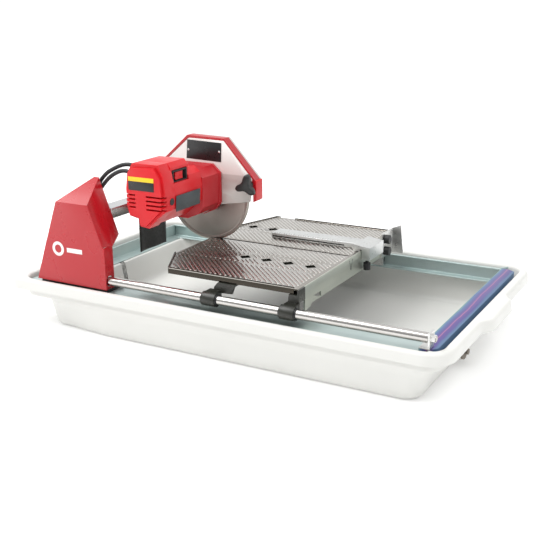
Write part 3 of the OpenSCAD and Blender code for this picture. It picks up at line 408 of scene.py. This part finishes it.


# Yellow-chromate zinc seen edge on to the light: bands of green, blue, violet and pink, with two painted
# highlights, a pale green line at its inner edge and a pale pink line along its middle.
cross_x1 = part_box("cross_right")[1].x
cross_wide = 24 * mm
passivate_and_highlights = banded("passivate_with_painted_highlights", [
    (0.0, "#BCD0BE"), (0.12, "#86AAA6"), (0.24, "#6780AA"), (0.46, "#62609C"), (0.57, "#83649E"),
    (0.61, "#BC80A4"), (0.65, "#76609C"), (0.86, "#665E9C"), (1.0, "#6280A4")],
    0, cross_x1 - cross_wide, cross_x1, 0.24,
    patch=60, rough=(0.3, 0.46), grain=0.9, depth=0.01, stretch=(1, 0.05, 1), Metallic=0.6)
softened("cross_right", 0.5, passivate_and_highlights)

# --- Guide rod and its fixings --------------------------------------------------------------------
# Ground and hard-chromed bar: mirror bright, with the faintest draw lines along it.
chrome = surface("hard_chrome", "#CFCDCA", "#B9B6B2", 50, (0.08, 0.16), 0.5, 0.002, (0.05, 1, 1),
                 Metallic=1.0)


def coated(node, mat):
    """Gives a frame solid a finish and leaves its shape alone."""
    data = frame["nodes"][node].data
    data.materials.clear()
    data.materials.append(mat)


coated("guide_rod", chrome)
# Bright zinc on turned and stamped hardware: an even, half-bright sheen.
bright = surface("bright_zinc_hardware", "#E4E4E2", "#CFCFCD", 30, (0.24, 0.36), 0.4, 0.003,
                 Metallic=0.95)
for node, width in (("rod_bracket", 0.5), ("rod_nut", 0.5), ("frame_bolts", 0.6)):
    softened(node, width, bright)

# --- Tower ----------------------------------------------------------------------------------------
# The post and its plate are black-painted steel inside a folded cover of red enamelled sheet.
enamel = surface("red_baking_enamel", "#BC1A24", "#AC151F", 160, (0.22, 0.32), 2.2, 0.012, Coat_Weight=0.1,
                 Coat_Roughness=0.12)
black_paint = surface("black_powder_coat", "#303133", "#202122", 24, (0.4, 0.55), 0.8, 0.05)
softened("tower_cover", 1.4, enamel, angle=14)
for node in ("tower_base", "post", "head_bracket", "flap_bracket"):
    softened(node, 0.8, black_paint)
# Printed film badge: a plain ring and bar.
film_white = surface("white_print_film", "#F6F6F4", "#EDEDEB", 30, (0.3, 0.4), 1.0, 0.01)
softened("cover_badge", 0.15, film_white, 2)
# The arm is a rectangular tube, chromed like the rod but drawn rather than ground.
drawn_chrome = surface("drawn_chrome", "#DADBDC", "#BFC1C4", 40, (0.16, 0.24), 0.6, 0.001, (1, 0.05, 1),
                       Metallic=1.0)
softened("arm", 1.6, drawn_chrome)

# --- Motor ----------------------------------------------------------------------------------------
# Glass-filled nylon housings, moulded in red with a fine satin grain, round a brushed motor.
red_nylon = surface("glass_filled_nylon", "#DC1E27", "#CF1821", 50, (0.28, 0.4), 0.5, 0.02,
                    Specular_IOR_Level=0.4)
case_red = surface("red_gear_case_paint", "#C3242D", "#B51D27", 40, (0.3, 0.42), 1.2, 0.05)
for node, width in (("motor_housing", 2.2), ("motor_end_cap", 2.0)):
    softened(node, width, red_nylon, 4)
softened("gear_case", 1.8, case_red, 4)
black_plastic = surface("black_nylon", "#2A2B2C", "#1B1C1D", 20, (0.38, 0.52), 0.6, 0.03)
for node, width in (("brush_caps", 0.5), ("switch_bezel", 0.6)):
    softened(node, width, black_plastic)
softened("switch_rocker", 0.6, red_nylon)
softened("strain_relief", 0.8, black_rubber)
# Sealed inside: laminated field and armature, copper windings under varnish, brushes and fan.
laminated = surface("steel_laminations", "#5A5B5E", "#3F4043", 8, (0.4, 0.6), 0.5, 0.05, (1, 8, 1),
                    Metallic=0.7)
varnished = surface("varnished_windings", "#8C5A2B", "#6B4020", 5, (0.25, 0.4), 0.7, 0.2,
                    Coat_Weight=0.4)
for node in ("stator", "carbon_brushes"):
    coated(node, laminated)
coated("armature", varnished)
coated("fan", film_white)
for node in ("bearings", "driven_gear", "arbor", "inner_flange", "outer_flange", "arbor_nut"):
    coated(node, bright)

# --- Motor labels ---------------------------------------------------------------------------------
# Printed polyester film, left plain: a grey side panel, and a yellow stripe over a black one.
film_grey = surface("grey_print_film", "#474F52", "#383F42", 40, (0.28, 0.4), 1.0, 0.01)
film_yellow = surface("yellow_print_film", "#F5D420", "#ECC71A", 40, (0.28, 0.4), 1.0, 0.01)
film_black = surface("black_print_film", "#242526", "#1A1B1C", 40, (0.24, 0.36), 1.0, 0.01)
for node, mat, slot in (("side_label", film_grey, "label_grey"),
                        ("end_label_top", film_yellow, "label_yellow"),
                        ("end_label_bottom", film_black, "label_black"),
                        ("plate_label", film_black, "label_black")):
    softened(node, 0.12, mat, 2)

# --- Guard ----------------------------------------------------------------------------------------
# A fixed near plate in satin stainless steel and a swinging shell: a painted ring, a band and a far
# plate, folded from sheet, with a moulded nose. The near plate is a little greyer below its middle.
plate_foot, plate_peak = head[2] - 44 * mm, head[2] + 130 * mm
satin = banded("satin_stainless", [
    (0.0, "#C9C4BF"), (0.488, "#CFCBC6"), (0.5, "#E9E6E2"), (1.0, "#EDEAE7")], 2, plate_foot, plate_peak,
    patch=90, rough=(0.36, 0.5), grain=0.5, depth=0.008, stretch=(0.08, 1, 1), Metallic=0.3)
softened("guard_plate", 0.5, satin)
# The band is enamelled red over its near half; its far half is pale grey, a painted highlight for the
# light caught along its far edge.
plate_y1, band_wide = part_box("guard_plate")[1].y, 26 * mm
band = banded("band_red_and_painted_highlight", [
    (0.0, "#B81A24"), (0.5, "#AE1822"), (0.52, "#C6C2BE"), (1.0, "#BDB9B5")],
    1, plate_y1, plate_y1 + band_wide,
    patch=90, rough=(0.28, 0.4), grain=1.5, depth=0.02, Coat_Weight=0.1)
softened("guard_far_plate", 0.5, band)
softened("guard_shell", 0.5, enamel)
softened("guard_nose", 0.8, red_nylon)
# Two round-headed rivets hold its label.
label_low, label_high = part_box("plate_label")
rivet_in, rivet_z = 5 * mm, (label_low.z + label_high.z) / 2
for side, x in enumerate((label_low.x + rivet_in, label_high.x - rivet_in)):
    turned_piece(f"label_rivet_{side}", [(0.6, 2.2), (0.1, 2.2), (-0.5, 1.7), (-0.8, 0.9)],
                 (x, label_low.y, rivet_z), 1, bright, "base", "bright_steel", sides=24)

# --- Blade ----------------------------------------------------------------------------------------
# A tensioned steel core, ground in circles, with a continuous diamond rim sintered round it.
core_r, edge_r = 82.0, (blade_high.z - blade_low.z) / 2 / mm
bore_r, core_half, rim_half = 7.95, 0.8, 1.1


def ground(name, light, dark, rough, spin):
    """Steel ground in circles about the blade's axis: the streaks depend only on the radius, and are
    drawn 2.5 mm apart so that they show. spin is how far the gloss is drawn out round the axis."""
    mat = surface(name, light, dark, 60, rough, 0.5, 0.0, Metallic=1.0, Anisotropic=spin)
    tree = mat.node_tree
    bsdf = tree.nodes["Principled BSDF"]
    place = add(tree, "ShaderNodeTexCoord").outputs["Object"]
    centred = add(tree, "ShaderNodeVectorMath", {0: place, 1: (*(-head),)}, operation="ADD")
    flat = add(tree, "ShaderNodeVectorMath", {0: centred.outputs[0], 1: (1, 0, 1)}, operation="MULTIPLY")
    radius = add(tree, "ShaderNodeVectorMath", {0: flat.outputs[0]}, operation="LENGTH")
    streaks = add(tree, "ShaderNodeTexNoise",
                  {"W": radius.outputs["Value"], "Scale": 1 / (2.5 * mm), "Detail": 2.0},
                  noise_dimensions="1D")
    lift = add(tree, "ShaderNodeBump",
               {"Height": streaks.outputs["Fac"], "Distance": 0.0006 * mm, "Strength": 1.0})
    tree.links.new(lift.outputs[0], bsdf.inputs["Normal"])
    turned = add(tree, "ShaderNodeTangent", direction_type="UV_MAP", uv_map="turned")
    tree.links.new(turned.outputs[0], bsdf.inputs["Tangent"])
    return mat


def turned_uv(obj, centre):
    """A map whose first axis runs round the centre in the XZ plane, for the grinding's direction."""
    uv = obj.data.uv_layers.new(name="turned")
    index = np.zeros(len(obj.data.loops), int)
    obj.data.loops.foreach_get("vertex_index", index)
    co = np.zeros(len(obj.data.vertices) * 3)
    obj.data.vertices.foreach_get("co", co)
    co = co.reshape(-1, 3)[index] - centre
    angle = np.arctan2(co[:, 2], co[:, 0]) / (2 * math.pi)
    total = np.zeros(len(obj.data.polygons), int)
    obj.data.polygons.foreach_get("loop_total", total)
    first = np.repeat(np.cumsum(total) - total, total)
    angle += np.round(angle[first] - angle)
    uv.data.foreach_set("uv", np.stack([angle, np.hypot(co[:, 0], co[:, 2]) * 10], -1).ravel())


steel = ground("circle_ground_steel", "#BDB8B0", "#B7B2AA", (0.3, 0.34), 0.6)
near_face = [(-core_half, r) for r in (bore_r, 12, 30, 60, core_r - 1, core_r)]
near_face += [(-rim_half, core_r + 0.4), (-rim_half, edge_r - 0.5), (-0.7, edge_r)]
far_face = [(-y, r) for y, r in reversed(near_face)]
blade = turned_piece("blade_disc", near_face + far_face, head, 1, steel, "arbor", "guard_steel",
                     hollow=True, sides=240, stands_for=["blade"])
turned_uv(blade, head)

# --- Guard knob -----------------------------------------------------------------------------------
# A three-armed knob in black phenolic, screwed on the stud: r = waist + reach * (half-cosine of
# three times the angle, raised to a power that narrows the arms).
# seat_y is where it meets the guard, and arm 0 points 80 degrees up from the saw's length.
seat_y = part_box("guard_knob")[1].y
stud = head + np.array([96, 0, 26]) * mm
first_arm, narrowing = math.radians(80), 1.7
turn_angle = np.linspace(0, 2 * math.pi, 144, endpoint=False)
arms = (0.5 + 0.5 * np.cos(3 * (turn_angle - first_arm))) ** narrowing
knob_rings = []
# each ring's distance from the seat, its waist and how far its arms reach past that
for y, waist, arm_reach in ((0, 9.6, 0), (0.4, 10, 0), (3.4, 10, 0), (4.2, 9.8, 8), (4.8, 9.8, 10.5),
                            (6, 9.8, 12), (13, 9.6, 12), (14.6, 9.4, 11), (15.6, 8.8, 9), (16, 7.5, 6)):
    r = (waist + arm_reach * arms) * mm
    knob_rings.append(np.stack([stud[0] + r * np.cos(turn_angle), np.full_like(r, seat_y - y * mm),
                                stud[2] + r * np.sin(turn_angle)], -1))
phenolic = surface("black_phenolic", "#2C2E2E", "#1C1D1D", 14, (0.3, 0.44), 0.6, 0.03)
piece("guard_knob_arms", *loft(knob_rings), phenolic, "guard_knob", "black_plastic", ["guard_knob"])

# --- Splash flap ----------------------------------------------------------------------------------
# A strip of sheet rubber that hangs behind the blade and folds up when the table passes below it;
# it is drawn here hanging, bowed a little.
flap_low, flap_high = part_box("splash_flap")
v, u = np.meshgrid(np.linspace(0, 1, 24), np.linspace(0, 1, 20), indexing="ij")
bow = 2.4 * mm * np.sin(math.pi * u) * v + 1.2 * mm * np.sin(2.6 * math.pi * u) * v ** 2
sheet_x = (flap_low.x + flap_high.x) / 2 - bow
half_sheet = 1.3 * mm
front = np.stack([sheet_x - half_sheet, flap_low.y + u * (flap_high.y - flap_low.y),
                  flap_high.z - v * (flap_high.z - flap_low.z)], -1)
behind = front + [2 * half_sheet, 0, 0]
flap_rings = np.concatenate([front, behind[:, ::-1]], 1)
flap = piece("splash_flap_sheet", *loft(flap_rings), black_rubber, "base", "black_rubber",
             ["splash_flap"])
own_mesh(flap)

# --- Rolling table --------------------------------------------------------------------------------
# Plated steel sheet with rolled lips, pressed ribs that carry the tile over the water, diamond
# drain holes and a slot for the blade.
table_low, table_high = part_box("table_top")
# The sheet is grey on top; its lips, its folded edges and the walls of its holes are darker: painted
# shade for the faces the light doesn't reach.
nickel_with_painted_shade = banded("nickel_plate_painted_shade", [
    (0.0, "#45413B"), (0.765, "#3B3832"), (0.785, "#A7A39D"), (0.87, "#A7A39D"), (0.9, "#3A3732"),
    (1.0, "#34312D")], 2, table_low.z, table_high.z,
    patch=70, rough=(0.14, 0.22), grain=0.8, depth=0.001, Metallic=1.0)
softened("table_top", 0.45, nickel_with_painted_shade, 2)
plated = surface("dull_nickel_plate", "#BFC3B8", "#A9ADA3", 60, (0.3, 0.44), 0.8, 0.01, (1, 0.08, 1),
                 Metallic=0.75)
softened("backstop", 0.6, plated)
black_gloss = surface("black_stove_enamel", "#2E2F28", "#1D1E1A", 30, (0.24, 0.38), 1.2, 0.05)
softened("table_legs", 0.8, black_gloss)
softened("slide_bushings", 0.5, black_plastic)
for node in ("roller_bracket", "stop_bracket"):
    softened(node, 0.7, bright)
softened("stop_bolts", 1.0, black_plastic)
for node in ("roller_left", "roller_right"):
    softened(node, 0.8, black_plastic)

lip_h = 2.4
top_z = table_high.z / mm - lip_h
x_lo, x_hi, y_lo, y_hi = table_low.x / mm, table_high.x / mm, table_low.y / mm, table_high.y / mm
drain_holes = [(x_lo + 124 + i * 42.6, -89) for i in range(4)]
drain_holes += [(x_lo + 30 + i * 43.8, 102) for i in range(4)]
# Both corners at the tower's end are cut off: where each cut starts, and its slope.
near_cut, far_cut = (-127, 81 / 43), (90, 104 / 33)
slot_clear, hole_clear, cut_clear = 7, 19, 11
plain_lines, plain_half = (-62, -122, 72), 3


def rib_spans(offset):
    """The stretches of the line x + y = offset that a rib fills: inside the lips, clear of the slot,
    of three plain lines and of every drain hole, and longer than a few millimetres."""
    t = np.arange(-400, 400, 1.0)
    x, y = offset / 2 + t / math.sqrt(2), offset / 2 - t / math.sqrt(2)
    keep = (x > x_lo + 9) & (x < x_hi - 8) & (y > y_lo + 9) & (y < y_hi - 9)
    keep &= y > near_cut[0] - (x - x_lo) * near_cut[1] + cut_clear
    keep &= y < far_cut[0] + (x - x_lo) * far_cut[1] - cut_clear
    keep &= np.abs(y) > slot_clear
    for line_y in plain_lines:
        keep &= np.abs(y - line_y) > plain_half
    for hole_x, hole_y in drain_holes:
        keep &= np.abs(x - hole_x) + np.abs(y - hole_y) > hole_clear
    edges = np.flatnonzero(np.diff(np.concatenate([[False], keep, [False]]).astype(int)))
    return [(t[a], t[b - 1]) for a, b in edges.reshape(-1, 2) if b - a > 5]


def rib(offset, start, end):
    """One pressed rib along x + y = offset: a low rounded bar whose ends taper to the sheet."""
    along, across = np.array([1, -1]) / math.sqrt(2), np.array([1, 1]) / math.sqrt(2)
    section = np.array([(-1.8, -0.3), (-1.7, 0.2), (-1.1, 0.6), (0, 0.7), (1.1, 0.6), (1.7, 0.2),
                        (1.8, -0.3)])
    rings = []
    for t, s in ((start, 0.55), (start + 0.8, 0.9), (start + 2, 1),
                 (end - 2, 1), (end - 0.8, 0.9), (end, 0.55)):
        mid = np.array([offset / 2, offset / 2]) + along * t
        flat = mid + across * (section[:, :1] * s)
        rings.append(np.column_stack([flat, top_z + section[:, 1] * s]))
    return loft(np.array(rings) * mm)


rib_pitch = 9.8
rib_points, rib_faces, start = [], [], 0
for offset in np.arange(-340, 380, rib_pitch):
    for low, high in rib_spans(offset):
        points, faces = rib(offset, low, high)
        rib_points.append(points)
        rib_faces += [[start + i for i in f] for f in faces]
        start += len(points)
# The ribs are paler and duller than the sheet between them.
rib_nickel = surface("nickel_ribs", "#D6D4CF", "#C6C3BE", 70, (0.24, 0.34), 0.8, 0.001, Metallic=1.0)
piece("table_ribs", np.vstack(rib_points), rib_faces, rib_nickel, "table", "table_plate")


def blocks(lows, highs):
    """Points and quads of closed boxes between pairs of low and high corners, in mm."""
    lows, highs = np.atleast_2d(lows).astype(float), np.atleast_2d(highs).astype(float)
    pick = np.array([[i & 1, i >> 1 & 1, i >> 2 & 1] for i in range(8)])
    points = np.where(pick[None] == 1, highs[:, None], lows[:, None]).reshape(-1, 3) * mm
    quads = np.array([(0, 2, 3, 1), (4, 5, 7, 6), (0, 1, 5, 4), (2, 6, 7, 3), (0, 4, 6, 2), (1, 3, 7, 5)])
    return points, (quads[None] + 8 * np.arange(len(lows))[:, None, None]).reshape(-1, 4).tolist()


# Painted shade: dark plugs sunk under the drain holes and a dark trough under the slot, so that the holes
# and the slot look dark with shade.
shade_plug_reach, shade_plug_floor, shade_plug_top = 15.5, top_z - 8, top_z - 2.9
shade_plug_points, shade_plug_faces = [], []
for k, centre in enumerate(drain_holes):
    corners = np.array(centre) + shade_plug_reach * np.array([(-1, 0), (0, -1), (1, 0), (0, 1)])
    points, faces = loft([np.column_stack([corners, np.full(4, z)]) * mm for z in (shade_plug_floor, shade_plug_top)])
    shade_plug_points.append(points)
    shade_plug_faces += [[8 * k + i for i in f] for f in faces]
slot_shade_x0, slot_shade_x1, slot_shade_half, slot_side = x_lo + 3, x_hi - 8.5, 5, 2.8
slot_shade_floor, slot_shade_top = top_z - 5.3, top_z - 2.7
points, faces = blocks([(slot_shade_x0, -slot_shade_half, shade_plug_floor), (slot_shade_x0, slot_side, slot_shade_floor),
                        (slot_shade_x0, -slot_shade_half, slot_shade_floor)],
                       [(slot_shade_x1, slot_shade_half, slot_shade_floor), (slot_shade_x1, slot_shade_half, slot_shade_top),
                        (slot_shade_x1, -slot_side, slot_shade_top)])
shade_plug_points.append(points)
shade_plug_faces += [[8 * len(drain_holes) + i for i in f] for f in faces]
piece("painted_shade_plugs", np.vstack(shade_plug_points), shade_plug_faces, black_gloss, "table", "black_steel",
      smooth=False)
# A small V printed on the backstop, beside the blade's line.
back_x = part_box("backstop")[1].x / mm
pointer = np.array([(-21, 0), (-19.4, 0), (-14, -16.5), (-8.6, 0), (-7, 0), (-13.2, -19), (-14.8, -19)])
faces_at = [np.column_stack([np.full(len(pointer), x), pointer[:, 0], top_z - 2 + pointer[:, 1]])
            for x in (back_x - 0.2, back_x + 0.12)]
piece("backstop_pointer", *loft(np.array(faces_at) * mm), film_black, "table", "label_black",
      smooth=False)

# --- Rip guide ------------------------------------------------------------------------------------
# Clear-anodised aluminium bar and head, clamped over the backstop by a black thumb-screw.
anodised = surface("clear_anodised_aluminium", "#DDDEDD", "#CBCDCC", 30, (0.28, 0.38), 0.5, 0.003,
                   (0.06, 1, 1), speck="#9A9A96", Metallic=0.9)
for node in ("rip_bar", "rip_head"):
    softened(node, 0.7, anodised)
softened("rip_screw", 0.7, black_plastic)
# Its printed scale, one mark each 5 mm, and a black strip along its near face: painted shade for the
# groove there.
bar_low, bar_high = (np.array(corner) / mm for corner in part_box("rip_bar"))
tick_pitch, tick_wide, scale_y = 5.0, 1.1, bar_low[1] + 1
ticks = np.arange(bar_low[0] + 5, bar_low[0] + 145, tick_pitch)
long_tick = np.where(np.arange(len(ticks)) % 2 == 0, 5.0, 3.0)
tick_low = np.stack([ticks, np.full_like(ticks, scale_y), np.full_like(ticks, bar_high[2] - 0.1)], -1)
tick_high = np.stack([ticks + tick_wide, scale_y + long_tick, np.full_like(ticks, bar_high[2] + 0.08)], -1)
groove_shade_low = bar_low + [2, -0.1, 2]
groove_shade_high = bar_low + [150, 0.1, 4.4]
piece("rip_scale", *blocks(np.vstack([tick_low, groove_shade_low]), np.vstack([tick_high, groove_shade_high])),
      film_black, "rip_guide", "label_black", smooth=False)

# --- Studio ---------------------------------------------------------------------------------------
# A wide pale floor, a large soft light above the tower's side, a small one over the operator's end
# and a bright surround.
floor_white = surface("studio_floor", "#FAFAFA", "#F7F7F7", 900, (0.8, 0.9), 40, 0.0,
                      Emission_Strength=0.16, Emission_Color=linear("#FFFFFF"), Specular_IOR_Level=0.1)
floor_mesh = bpy.data.meshes.new("floor")
reach, floor_z = 400, -0.0004
floor_mesh.from_pydata([(-reach, -reach, floor_z), (reach, -reach, floor_z), (reach, reach, floor_z),
                        (-reach, reach, floor_z)], [], [(0, 1, 2, 3)])
floor_mesh.materials.append(floor_white)
floor = bpy.data.objects.new("floor", floor_mesh)
bpy.context.scene.collection.objects.link(floor)


def soft_light(name, size, power, place, aim):
    """A square area light of size metres, turned to face aim."""
    lamp = bpy.data.lights.new(name, "AREA")
    lamp.shape = "SQUARE"
    lamp.size = size
    lamp.energy = power
    obj = bpy.data.objects.new(name, lamp)
    obj.location = place
    obj.rotation_euler = (Vector(aim) - Vector(place)).to_track_quat("-Z", "Y").to_euler()
    bpy.context.scene.collection.objects.link(obj)


soft_light("key", 2.2, 62, (-1.5, -0.9, 2.7), (0, 0, 0.1))
soft_light("edge", 0.7, 9, (1.3, -0.5, 1.9), (-0.1, 0, 0.2))
world = bpy.data.worlds.new("studio")
bpy.context.scene.world = world
world.use_nodes = True
sky = world.node_tree
way = add(sky, "ShaderNodeTexCoord").outputs["Generated"]
# The room is white behind the saw and overhead, and dimmer on the side that faces it.
facing = add(sky, "ShaderNodeVectorMath", {0: way, 1: (0.49, -0.87, 0.0)}, operation="DOT_PRODUCT")
side = add(sky, "ShaderNodeMapRange", {"Value": facing.outputs["Value"], "From Min": -0.1, "From Max": 0.6,
                                       "To Min": 1.0, "To Max": 0.42})
height = add(sky, "ShaderNodeSeparateXYZ", {0: way})
above = add(sky, "ShaderNodeMapRange", {"Value": height.outputs["Z"], "From Min": 0.35, "From Max": 0.8})
light = add(sky, "ShaderNodeMix", {0: above.outputs[0], 2: side.outputs[0], 3: 1.05}, data_type="FLOAT")
sky.links.new(light.outputs[0], sky.nodes["Background"].inputs["Color"])
sky.nodes["Background"].inputs["Strength"].default_value = 1.0
